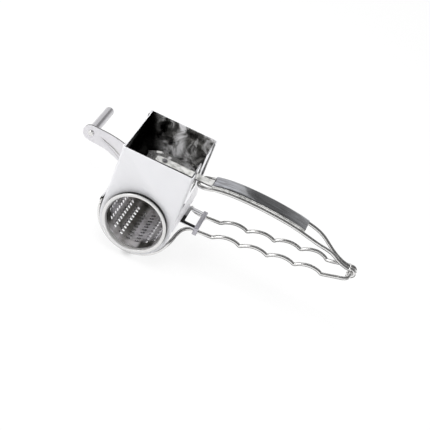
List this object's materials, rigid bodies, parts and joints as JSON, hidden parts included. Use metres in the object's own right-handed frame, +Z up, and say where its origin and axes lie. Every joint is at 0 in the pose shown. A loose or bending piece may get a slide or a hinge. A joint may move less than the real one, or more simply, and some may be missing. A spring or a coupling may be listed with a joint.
{
  "type": "rotary cheese grater",
  "caption": "Hand-cranked rotary cheese grater with a feed hopper, a toothed drum, a waved wire handle and a hinged pressing handle.",
  "frame": {"origin": "middle of the bounding box's underside, level with the lowest wire", "axes": "+X from the hopper along the handles to their hinge, +Y from the drum's open mouth to the crank, +Z up out of the hopper"},
  "size_m": [0.2674, 0.1356, 0.0967],
  "materials": {
    "hopper_steel": "bright plated sheet steel, slightly dulled",
    "drum_steel": "plated sheet steel, pressed and slightly rough",
    "wire_steel": "bright plated wire",
    "crank_steel": "bright plated, fine rolling marks",
    "plate_steel": "plated sheet steel, worn and spotted"
  },
  "bodies": {
    "housing": {"front_plate": "hopper_steel", "back_plate": "hopper_steel", "left_wall": "hopper_steel", "right_wall": "hopper_steel", "wire_clamp": "wire_steel", "lower_frame": "wire_steel", "axle_bush": "crank_steel", "axle_washer": "crank_steel"},
    "crank": {"axle": "wire_steel", "crank_arm": "crank_steel", "crank_nut": "crank_steel", "grip_pin": "wire_steel"},
    "grip": {"crank_grip": "crank_steel"},
    "drum": {"drum_shell": "drum_steel", "drum_rim": "drum_steel", "drum_end": "drum_steel", "drum_hub": "drum_steel"},
    "press": {"press_wire": "wire_steel", "thumb_plate": "plate_steel", "press_arm": "plate_steel", "press_foot": "plate_steel", "foot_rivet": "wire_steel", "plate_rivet": "wire_steel"}
  },
  "joints": [
    {"name": "crank_turn", "type": "hinge", "parent": "housing", "child": "crank", "pos_m": [-0.04941, 0.0085, 0.03468], "axis": [0, 1, 0], "continuous": true},
    {"name": "grip_spin", "type": "hinge", "parent": "crank", "child": "grip", "pos_m": [-0.12599, 0.0192, 0.04057], "axis": [0, 1, 0], "continuous": true},
    {"name": "drum_out", "type": "slide", "parent": "crank", "child": "drum", "axis": [0, -1, 0], "range_m": [0, 0.075]},
    {"name": "press_swing", "type": "hinge", "parent": "housing", "child": "press", "pos_m": [0.12859, -0.02855, 0.05918], "axis": [0, 1, 0], "range_deg": [-4, 110]}
  ]
}
